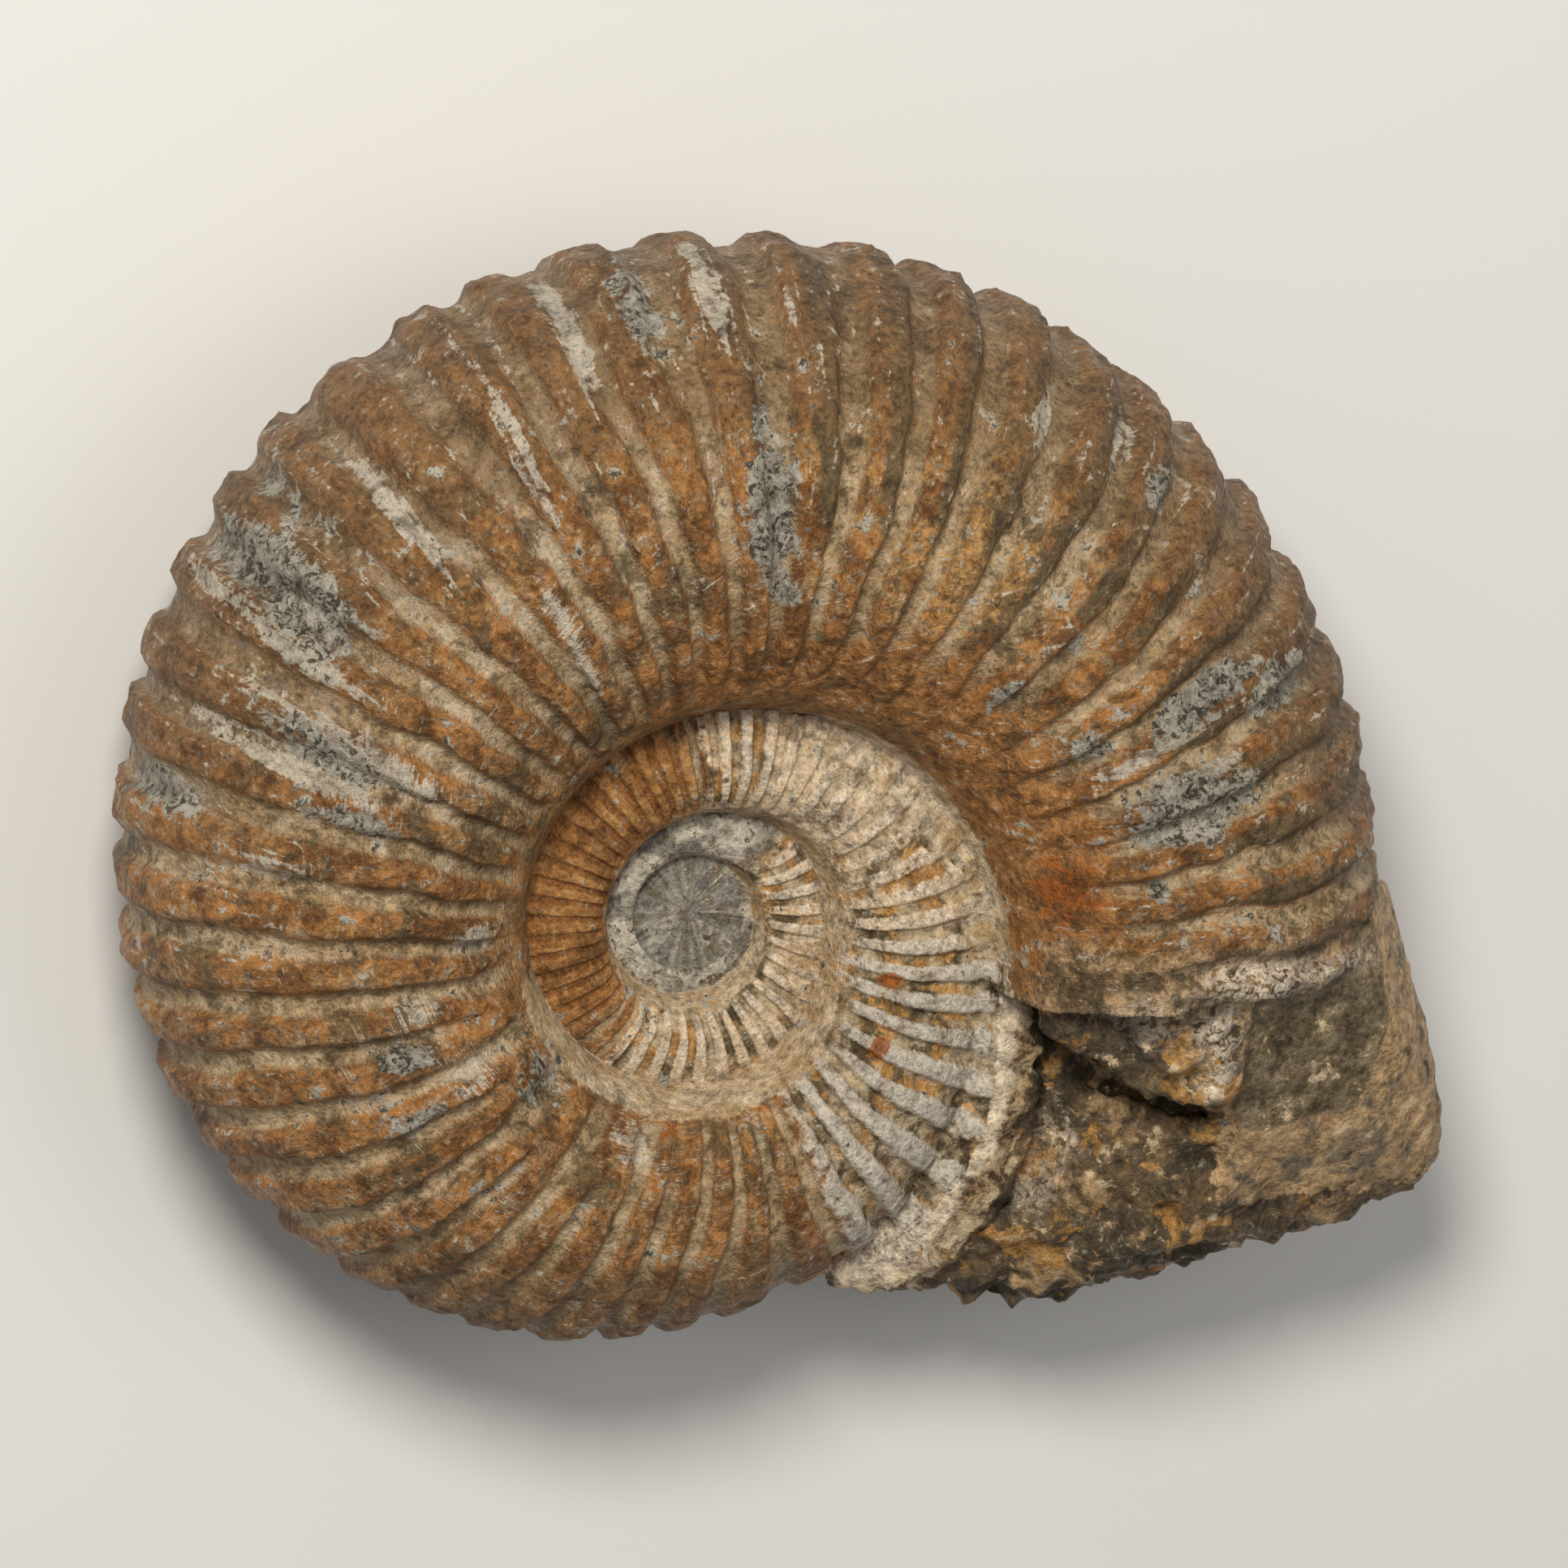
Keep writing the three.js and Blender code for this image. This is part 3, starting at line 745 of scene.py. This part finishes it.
def paint(mesh, co):
    """Stores what the material needs to know at each vertex, and where it lies along the ribs."""
    azimuth, angle, r = whorl_place(co)
    out = how_far_out(angle, r)
    height, strength = rib_height(angle, r, co)
    rock = rock_share(mesh)
    # Partly painted light: cream only on walls that face the light, while walls facing away keep the
    # darker stone.
    wall_faces_light = smoothstep(0.1, 0.45, 0.5 + 0.5 * np.cos(np.radians(azimuth - LIT_WALL_AT)))
    wall_top = 0.03 * between(150, 210, 325, 345, azimuth)
    from_seam = r - seam_radius(azimuth)
    core = smoothstep(CORE_RADIUS + 0.35, CORE_RADIUS, r)
    inside = inside_crest(co)
    walls = smoothstep(100, 150, angle) * smoothstep(780, 760, angle)
    bearing = (azimuth + 100) % TURN - 100
    band = between(*SEAM_BAND, from_seam) * between(*SEAM_BEARINGS, bearing)
    by_lip = between(*LIP_BEARINGS, bearing)
    shown = np.clip(1.3 * strength, 0, 1) * (1 - 0.8 * band)
    shown = shown * (1 - 0.8 * by_lip * smoothstep(2.0, 0.4, np.abs(inside)))
    look = {name: between(*span, angle) for name, span in LOOKS.items()}
    # Painted shade: the venter darkens towards its outer edge at the top and at the lower left.
    outer = look["stain_and_shade"] + 1.5 * look["lower_venter_shade"]
    values = {
        "rib": height * shown + 0.5 * (1 - shown),
        "side": 0.5 + 0.5 * np.sin(2 * np.pi * rib_phase(angle, r)),
        "wall": smoothstep(wall_top + 0.03, wall_top - 0.02, out) * wall_faces_light * walls,
        "band": band,
        "white": look["white"] * smoothstep(31.5, 30.5, r) + look["teeth"],
        "bluish": look["bluish"],
        "worn": smoothstep(5, -6, azimuth) * (r > 24),
        "beneath": smoothstep(0.1, 0.8, inside) * by_lip,
        "pale": 0.55 * look["pale"] * smoothstep(0.1, 0.5, out),
        "outer": outer * smoothstep(0.5, 0.85, out),
        "dusty": look["dusty"],
        "brown": look["brown"],
        "grey": smoothstep(760, 775, angle),
        "rusty": look["rusty"] * smoothstep(0.3, 0.1, out),
        # Painted shade on the lee sides of the ribs by the mouth.
        "rib_shade_span": look["rib_shade_span"] * smoothstep(0.35, 0.65, out),
        "slate": patches(co, SLATE_PATCHES),
        "chalk": patches(co, CHALK_PATCHES),
        "ochre": patches(co, OCHRE_PATCHES),
        "core": core,
        "red": patches(co, RED_PATCHES),
        "crystal": patches(co, CRYSTAL_PATCHES),
        "rock": rock,
        "facet": smoothstep(-1.2, 1.2, inside_facet(co)),
        "smooth": smooth_rock(co),
        "ridge": np.exp(-(distance_to(co, RIDGE_CREST) / 3.0) ** 4),
        "lip": np.exp(-(distance_to(co, RIDGE_CREST) / 1.3) ** 2),
        "fan": 0.5 + 0.5 * np.cos(2 * np.pi * ridge_place(co) / RIDGE_RIB_SPACING),
    }
    for name, value in values.items():
        attribute = mesh.attributes.new(name, "FLOAT", "POINT")
        attribute.data.foreach_set("value", np.clip(value, 0, 1).astype(np.float32))
    lie = np.stack([*along_and_across(np.where(core > 0, azimuth, angle), r), np.zeros_like(r)], -1)
    attribute = mesh.attributes.new("lie", "FLOAT_VECTOR", "POINT")
    attribute.data.foreach_set("vector", lie.astype(np.float32).ravel())


# ---- Material -----------------------------------------------------------------------------

class Nodes:
    """Short names for the nodes that the material is made of."""

    def __init__(self, material):
        material.use_nodes = True
        self.tree = material.node_tree
        self.tree.nodes.clear()
        place = self.new("ShaderNodeTexCoord")
        scale = self.new("ShaderNodeVectorMath")
        scale.operation = "SCALE"
        scale.inputs["Scale"].default_value = 1 / MM
        self.link(place.outputs["Object"], scale.inputs[0])
        self.place = scale.outputs[0]
        self.broad = self.noise(9.0, 3, seed=1)
        self.middle = self.noise(2.6, 5, distortion=0.4, seed=2)
        self.small = self.noise(1.2, 5, roughness=0.65, distortion=0.5, seed=3)
        self.fine = self.noise(0.5, 5, roughness=0.7, seed=4)
        self.grit = self.noise(0.2, 3, seed=5)
        self.streaks = self.streak_noise(4.0, 0.55, 6)

    def new(self, kind):
        return self.tree.nodes.new(kind)

    def link(self, source, target):
        self.tree.links.new(source, target)

    def put(self, value, socket):
        if isinstance(value, (int, float)):
            socket.default_value = value
        elif isinstance(value, tuple):
            socket.default_value = (*value, 1)
        else:
            self.link(value, socket)

    def attribute(self, name):
        node = self.new("ShaderNodeAttribute")
        node.attribute_name = name
        return node

    def mask(self, name):
        return self.attribute(name).outputs["Fac"]

    def math(self, operation, *values):
        node = self.new("ShaderNodeMath")
        node.operation = operation
        for value, socket in zip(values, node.inputs):
            self.put(value, socket)
        return node.outputs[0]

    def times(self, a, b):
        return self.math("MULTIPLY", a, b)

    def ragged(self, value, *noises):
        """The value with its edges broken up. Each noise comes with how much it counts."""
        for noise, share in noises:
            value = self.math("ADD", value, self.math("MULTIPLY_ADD", noise, share, -share / 2))
        return value

    def ramp(self, value, low, high, top=1.0):
        """0 below low, top above high, smooth between. Low may be above high."""
        node = self.new("ShaderNodeMapRange")
        node.interpolation_type = "SMOOTHSTEP"
        flipped = low > high
        self.put(value, node.inputs["Value"])
        node.inputs["From Min"].default_value = min(low, high)
        node.inputs["From Max"].default_value = max(low, high)
        node.inputs["To Min"].default_value = top if flipped else 0.0
        node.inputs["To Max"].default_value = 0.0 if flipped else top
        return node.outputs["Result"]

    def broken(self, name, low, high, *noises, top=1.0):
        """What paint() stored under this name, ramped, with its edges broken up."""
        return self.ramp(self.ragged(self.mask(name), *noises), low, high, top)

    def noise(self, size, detail=4, roughness=0.6, distortion=0.0, seed=0):
        """Noise around 0.5 whose lumps are about `size` mm across."""
        node = self.new("ShaderNodeTexNoise")
        node.noise_dimensions = "4D"
        node.inputs["W"].default_value = seed * 7.3
        node.inputs["Scale"].default_value = 1 / size
        node.inputs["Detail"].default_value = detail
        node.inputs["Roughness"].default_value = roughness
        node.inputs["Distortion"].default_value = distortion
        self.link(self.place, node.inputs["Vector"])
        return node.outputs["Fac"]

    def streak_noise(self, long, wide, seed):
        """Noise drawn out along the ribs."""
        stretch = self.new("ShaderNodeVectorMath")
        stretch.operation = "MULTIPLY"
        stretch.inputs[1].default_value = (1 / long, 1 / wide, 1)
        self.link(self.attribute("lie").outputs["Vector"], stretch.inputs[0])
        node = self.new("ShaderNodeTexNoise")
        node.inputs["Scale"].default_value = 1
        node.inputs["Detail"].default_value = 5
        node.inputs["Distortion"].default_value = 0.3
        offset = self.new("ShaderNodeVectorMath")
        offset.operation = "ADD"
        offset.inputs[1].default_value = (seed, seed, seed)
        self.link(stretch.outputs[0], offset.inputs[0])
        self.link(offset.outputs[0], node.inputs["Vector"])
        return node.outputs["Fac"]

    def mix(self, share, a, b):
        node = self.new("ShaderNodeMix")
        node.data_type = "RGBA"
        self.put(share, node.inputs["Factor"])
        self.put(a, node.inputs[6])
        self.put(b, node.inputs[7])
        return node.outputs[2]


TAN = (0.38, 0.255, 0.13)
PALE_TAN = (0.47, 0.36, 0.225)
ORANGE = (0.37, 0.17, 0.052)
OCHRE = (0.45, 0.24, 0.08)
RUST_BROWN = (0.25, 0.105, 0.03)
BROWN = (0.13, 0.072, 0.032)
OLIVE = (0.12, 0.085, 0.042)
DARK = (0.055, 0.045, 0.032)
SLATE = (0.31, 0.28, 0.225)
CHALK = (0.50, 0.45, 0.365)
CREAM = (0.62, 0.48, 0.32)
WHITE = (0.72, 0.60, 0.46)
BLUISH = (0.50, 0.455, 0.38)
LIP = (0.70, 0.57, 0.41)
DISC_BLUE = (0.29, 0.27, 0.23)
DISC_GREY = (0.18, 0.155, 0.115)
# Painted shade for the venter's outer edge.
VENTER_SHADE = (0.17, 0.095, 0.04)
RED = (0.28, 0.08, 0.012)
GREY_ROCK = (0.23, 0.175, 0.105)
DARK_ROCK = (0.075, 0.055, 0.032)
TAN_ROCK = (0.44, 0.285, 0.145)
BROWN_ROCK = (0.15, 0.10, 0.052)
ORANGE_ROCK = (0.38, 0.20, 0.06)


def outer_whorl(n):
    """Pale dust in the grooves, rusty stone on the crests, and painted shade on the ribs' lee sides
    by the mouth and on the venter's outer edge.
    """
    dust = n.mix(n.ramp(n.middle, 0.40, 0.60), TAN, PALE_TAN)
    bleached = n.times(n.mask("pale"), n.ramp(n.ragged(n.streaks, (n.middle, 1.0)), 0.44, 0.62))
    dust = n.mix(bleached, dust, CHALK)
    stone = n.mix(n.ramp(n.middle, 0.40, 0.58), RUST_BROWN, ORANGE)
    ochre = n.broken("ochre", 0.45, 0.8, (n.small, 3.0), (n.middle, 2.0), (n.broad, 1.0))
    stone = n.mix(ochre, stone, OCHRE)
    stone = n.mix(n.ramp(n.small, 0.50, 0.62, 0.8), stone, BROWN)
    stone = n.mix(n.ramp(n.noise(1.6, 6, 0.7, seed=9), 0.52, 0.62, 0.75), stone, TAN)
    stone = n.mix(n.ramp(n.noise(0.7, 6, 0.7, seed=10), 0.56, 0.64, 0.8), stone, SLATE)
    crest = n.broken("rib", 0.16, 0.50,
                     (n.streaks, 1.8), (n.middle, 1.0), (n.small, 1.6), (n.fine, 1.4))
    colour = n.mix(crest, dust, stone)
    # Painted shade: the lee side of each rib by the mouth is darkened olive.
    lee_shade = n.times(n.ramp(n.mask("side"), 0.6, 0.2), n.ramp(n.mask("rib"), 0.2, 0.6))
    lee_shade = n.times(lee_shade, n.broken("rib_shade_span", 0.1, 0.5, (n.small, 2.2), (n.broad, 1.6), top=0.9))
    colour = n.mix(lee_shade, colour, OLIVE)
    stains = n.ramp(n.ragged(n.noise(1.8, 6, 0.72, 0.6, 7), (n.broad, 0.8)), 0.54, 0.62, 0.75)
    colour = n.mix(stains, colour, OLIVE)
    # Painted shade: the venter darkens towards its outer edge.
    outer = n.broken("outer", 0.1, 1.0, (n.middle, 1.8), (n.small, 1.6), top=0.65)
    return n.mix(outer, colour, VENTER_SHADE)


def near_umbilicus(n, colour):
    """Rusty stone by the rim, a cream wall below it, and a pale thread along the seam. The wall's
    cream is partly its own pale stone and partly painted light, laid only where the wall faces the
    light.
    """
    stone = n.mix(n.ramp(n.small, 0.42, 0.58), RUST_BROWN, ORANGE)
    colour = n.mix(n.broken("rusty", 0.3, 0.8, (n.middle, 3.0), top=0.85), colour, stone)
    cream = n.mix(n.ramp(n.middle, 0.44, 0.60), CREAM, TAN)
    # Partly painted light: the wall's own pale stone, painted cream only where it faces the light.
    wall = n.broken("wall", 0.3, 0.7, (n.middle, 1.5), (n.fine, 1.0))
    colour = n.mix(wall, colour, cream)
    thread = n.mix(n.ramp(n.middle, 0.42, 0.58), LIP, cream)
    band = n.broken("band", 0.3, 0.7, (n.middle, 1.0), (n.small, 1.0))
    return n.mix(band, colour, thread)


def near_mouth(n, colour):
    stone = n.mix(n.ramp(n.small, 0.42, 0.58), TAN_ROCK, BROWN)
    stone = n.mix(n.ramp(n.middle, 0.40, 0.54), OLIVE, stone)
    worn = n.broken("worn", 0.3, 0.7, (n.middle, 3.0), (n.small, 1.5))
    return n.mix(worn, colour, stone)


def inner_whorls(n, colour):
    """White ribs with dark gaps on one side, brown ones on the other, slate grey at the centre."""
    chalky = n.mix(n.ramp(n.middle, 0.46, 0.58), WHITE, CREAM)
    chalky = n.mix(n.ramp(n.small, 0.54, 0.64, 0.7), chalky, OCHRE)
    bluish = n.broken("bluish", 0.3, 1.1, (n.middle, 3.0), (n.small, 2.0), top=0.85)
    chalky = n.mix(bluish, chalky, BLUISH)
    gap = n.mix(n.ramp(n.noise(3.0, 4, seed=11), 0.42, 0.54), OLIVE, PALE_TAN)
    gap = n.mix(n.ramp(n.noise(2.4, 5, seed=12), 0.50, 0.58), gap, OCHRE)
    gap = n.mix(n.times(n.mask("dusty"), 0.75), gap, CREAM)
    rib = n.broken("rib", 0.42, 0.78,
                   (n.streaks, 1.2), (n.middle, 1.2), (n.small, 1.2), (n.fine, 0.8))
    ribbed = n.mix(rib, gap, chalky)
    off_wall = n.math("SUBTRACT", 1.0, n.math("MAXIMUM", n.mask("wall"), n.mask("band")))
    white = n.broken("white", 0.3, 0.7, (n.middle, 2.0), (n.small, 1.5))
    colour = n.mix(n.times(white, off_wall), colour, ribbed)
    crests = n.broken("rib", 0.2, 0.6, (n.small, 1.0), (n.fine, 1.0))
    warm = n.mix(n.ramp(n.middle, 0.48, 0.60), ORANGE, OCHRE)
    brown = n.mix(n.times(crests, 0.7), RUST_BROWN, warm)
    brown = n.mix(n.ramp(n.small, 0.54, 0.62, 0.6), brown, BROWN)
    stain_and_shade = n.broken("brown", 0.3, 0.7, (n.middle, 2.0), (n.small, 1.5))
    colour = n.mix(n.times(stain_and_shade, off_wall), colour, brown)
    centre = n.mix(n.ramp(n.middle, 0.46, 0.58), SLATE, CHALK)
    centre = n.mix(n.ramp(n.small, 0.53, 0.60), centre, OLIVE)
    colour = n.mix(n.mask("grey"), colour, centre)
    disc = n.mix(n.ramp(n.streak_noise(9.0, 1.0, 4), 0.38, 0.64), DISC_BLUE, DISC_GREY)
    disc = n.mix(n.ramp(n.small, 0.52, 0.62, 0.8), disc, OLIVE)
    return n.mix(n.mask("core"), colour, disc)


def worn_patches(n, colour):
    """Chalky, slate grey and red places."""
    chalk = n.broken("chalk", 0.35, 0.65, (n.streaks, 2.4), (n.small, 2.0), (n.fine, 1.2), top=0.75)
    colour = n.mix(chalk, colour, CHALK)
    slate = n.broken("slate", 0.32, 0.48, (n.middle, 2.4), (n.small, 2.0), (n.fine, 1.0))
    speckled = n.mix(n.ramp(n.noise(0.8, 6, 0.75, 0.8, 13), 0.50, 0.57), SLATE, DARK)
    colour = n.mix(slate, colour, speckled)
    red = n.broken("red", 0.35, 0.75, (n.small, 3.4), (n.middle, 2.4), top=0.9)
    return n.mix(n.times(red, n.ramp(n.mask("red"), 0.02, 0.25)), colour, RED)


def rough_rock(n):
    colour = n.mix(n.ramp(n.noise(5.0, 5, 0.6, 0.8, 14), 0.45, 0.58), DARK_ROCK, BROWN_ROCK)
    colour = n.mix(n.ramp(n.noise(6.5, 5, 0.6, 1.2, 15), 0.54, 0.60, 0.7), colour, TAN_ROCK)
    colour = n.mix(n.ramp(n.noise(4.5, 5, 0.6, 1.2, 16), 0.54, 0.59), colour, ORANGE_ROCK)
    return n.mix(n.ramp(n.noise(1.6, 6, 0.75, 0.9, 17), 0.58, 0.64, 0.8), colour, SLATE)


def rock_colour(n):
    grey = n.mix(n.ramp(n.noise(2.0, 6, 0.7, 0.3, 18), 0.42, 0.60), GREY_ROCK, OLIVE)
    tan = n.mix(n.ramp(n.noise(4.0, 5, 0.65, 0.5, 20), 0.54, 0.62), TAN_ROCK, GREY_ROCK)
    facet = n.broken("facet", 0.35, 0.65, (n.middle, 2.0), (n.small, 1.2))
    smooth = n.broken("smooth", 0.35, 0.6, (n.middle, 3.0), (n.small, 1.5))
    colour = n.mix(smooth, rough_rock(n), n.mix(facet, tan, grey))
    fan = n.broken("fan", 0.1, 0.9, (n.small, 3.0), (n.fine, 2.0))
    slope = n.mix(n.ramp(n.middle, 0.44, 0.58), n.mix(fan, BROWN, TAN), PALE_TAN)
    ridge = n.broken("ridge", 0.3, 0.6, (n.middle, 3.0), (n.small, 2.0))
    colour = n.mix(ridge, colour, slope)
    lip = n.broken("lip", 0.3, 0.7, (n.middle, 0.8), (n.small, 1.0))
    return n.mix(lip, colour, LIP)


DARKEST = 0.45         # what the mottling multiplies a colour by at the least and at the most
LIGHTEST = 1.6


def mottled(n, colour):
    """Every colour again, darker and lighter by small patches."""
    depth = n.ragged(n.middle, (n.small, 1.0), (n.fine, 1.2), (n.grit, 0.5))
    amount = n.new("ShaderNodeMapRange")
    n.link(depth, amount.inputs["Value"])
    amount.inputs["From Min"].default_value = 0.25
    amount.inputs["From Max"].default_value = 0.75
    amount.inputs["To Min"].default_value = DARKEST
    amount.inputs["To Max"].default_value = LIGHTEST
    scaled = n.new("ShaderNodeVectorMath")
    scaled.operation = "SCALE"
    n.link(colour, scaled.inputs[0])
    n.link(amount.outputs["Result"], scaled.inputs["Scale"])
    return scaled.outputs[0]


def stone_bump(n):
    height = n.times(n.small, 0.7)
    for noise, share in ((n.fine, 0.55), (n.grit, 0.16)):
        height = n.math("ADD", height, n.times(noise, share))
    bump = n.new("ShaderNodeBump")
    bump.inputs["Strength"].default_value = 0.85
    bump.inputs["Distance"].default_value = MM
    n.link(height, bump.inputs["Height"])
    return bump.outputs["Normal"]


def stone_material():
    material = bpy.data.materials.new("fossil_stone")
    n = Nodes(material)
    colour = near_mouth(n, near_umbilicus(n, outer_whorl(n)))
    colour = worn_patches(n, inner_whorls(n, colour))
    rock = n.times(n.mask("rock"), n.math("SUBTRACT", 1.0, n.mask("beneath")))
    rock = n.ramp(n.ragged(rock, (n.small, 1.6)), 0.4, 0.6)
    colour = n.mix(rock, colour, rock_colour(n))
    crystal = n.times(n.mask("crystal"), n.ramp(n.noise(0.9, 4, 0.7, 0.8, 19), 0.44, 0.51))
    colour = mottled(n, n.mix(n.times(crystal, 0.9), colour, WHITE))

    shader = n.new("ShaderNodeBsdfPrincipled")
    shader.inputs["Specular IOR Level"].default_value = 0.25
    n.link(colour, shader.inputs["Base Color"])
    n.link(n.ramp(n.fine, 1.1, -0.3), shader.inputs["Roughness"])
    n.link(stone_bump(n), shader.inputs["Normal"])
    output = n.new("ShaderNodeOutputMaterial")
    n.link(shader.outputs["BSDF"], output.inputs["Surface"])
    return material


# ---- Camera, light and floor --------------------------------------------------------------

CAMERA_TILT = 19.0         # how far the view leans off the coil axis
CAMERA_TOWARDS = 136.0     # and towards which azimuth
FRAME_WIDTH = 120.75       # what the frame takes in, at the coil
FRAME_CENTRE = (6.94, 9.94)
CAMERA_DISTANCE = 1200.0
SENSOR = 36.0


def view_axes():
    """The camera's right, up and backward directions in the row frame."""
    tilt = math.radians(CAMERA_TILT)
    towards = math.radians(CAMERA_TOWARDS)
    lean = math.sin(tilt)
    back = Vector((lean * math.cos(towards), lean * math.sin(towards), math.cos(tilt)))
    up = Vector((0, 1, 0))
    up = (up - back * up.dot(back)).normalized()
    right = up.cross(back)
    turn = rest_rotation()
    return turn @ right, turn @ up, turn @ back


def coil_centre():
    return Vector((AXIS_AT[0], AXIS_AT[1], REST_HEIGHT))


def aim(obj, right, up, back, at):
    matrix = Matrix((right, up, back)).transposed().to_4x4()
    matrix.translation = at * MM
    obj.matrix_world = matrix


def add_camera():
    right, up, back = view_axes()
    data = bpy.data.cameras.new("camera")
    data.sensor_width = SENSOR
    data.lens = SENSOR * CAMERA_DISTANCE / FRAME_WIDTH
    data.clip_end = 10
    camera = bpy.data.objects.new("camera", data)
    bpy.context.scene.collection.objects.link(camera)
    middle = coil_centre() + right * FRAME_CENTRE[0] + up * FRAME_CENTRE[1]
    aim(camera, right, up, back, middle + back * CAMERA_DISTANCE)
    bpy.context.scene.camera = camera


def add_light(name, direction, distance, size, power, colour):
    data = bpy.data.lights.new(name, "AREA")
    data.shape = "DISK"
    data.size = size * MM
    data.energy = power
    data.color = colour
    light = bpy.data.objects.new(name, data)
    bpy.context.scene.collection.objects.link(light)
    back = Vector(direction).normalized()
    light.rotation_euler = back.to_track_quat("Z", "Y").to_euler()
    light.location = back * distance * MM


def add_studio():
    half = 2.0
    corners = [(-half, -half, 0), (half, -half, 0), (half, half, 0), (-half, half, 0)]
    floor = make_object("floor", corners, [(0, 1, 2, 3)])
    material = bpy.data.materials.new("floor_paper")
    material.use_nodes = True
    shader = material.node_tree.nodes["Principled BSDF"]
    shader.inputs["Base Color"].default_value = (0.72, 0.71, 0.69, 1)
    shader.inputs["Roughness"].default_value = 0.9
    floor.data.materials.append(material)
    right, up, back = view_axes()
    from_above = back * 0.95 + up * 0.3 - right * 0.05
    from_right = back * 0.75 + right * 0.65
    add_light("key", from_above, distance=600, size=180, power=3.0, colour=(1.0, 0.96, 0.88))
    add_light("fill", from_right, distance=700, size=400, power=0.7, colour=(1.0, 0.97, 0.92))
    world = bpy.data.worlds.new("studio")
    world.use_nodes = True
    background = world.node_tree.nodes["Background"]
    background.inputs["Color"].default_value = (1, 1, 1, 1)
    background.inputs["Strength"].default_value = 0.27
    bpy.context.scene.world = world
    bpy.context.scene.view_settings.view_transform = "Standard"


# ---- Making it ----------------------------------------------------------------------------

def add_fossil():
    fossil = stone_object()
    fossil.name = "fossil"
    mesh = fossil.data
    co = vertex_array(mesh)
    paint(mesh, co)
    r = np.hypot(co[:, 0], co[:, 1])
    co = co + np.array(CORE_DRIFT) * smoothstep(*DRIFT_RADII, r)[:, None]
    turn = np.array(rest_rotation())
    laid = co @ turn.T + np.array([*AXIS_AT, REST_HEIGHT])
    laid[:, 2] = np.maximum(laid[:, 2], 0)
    set_vertices(mesh, laid * MM)
    mesh.polygons.foreach_set("material_index", [0] * len(mesh.polygons))
    mesh.materials.clear()
    mesh.materials.append(stone_material())
    mesh.shade_smooth()
    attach(fossil, "root")
    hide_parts(NODE)


add_camera()
add_studio()
add_fossil()
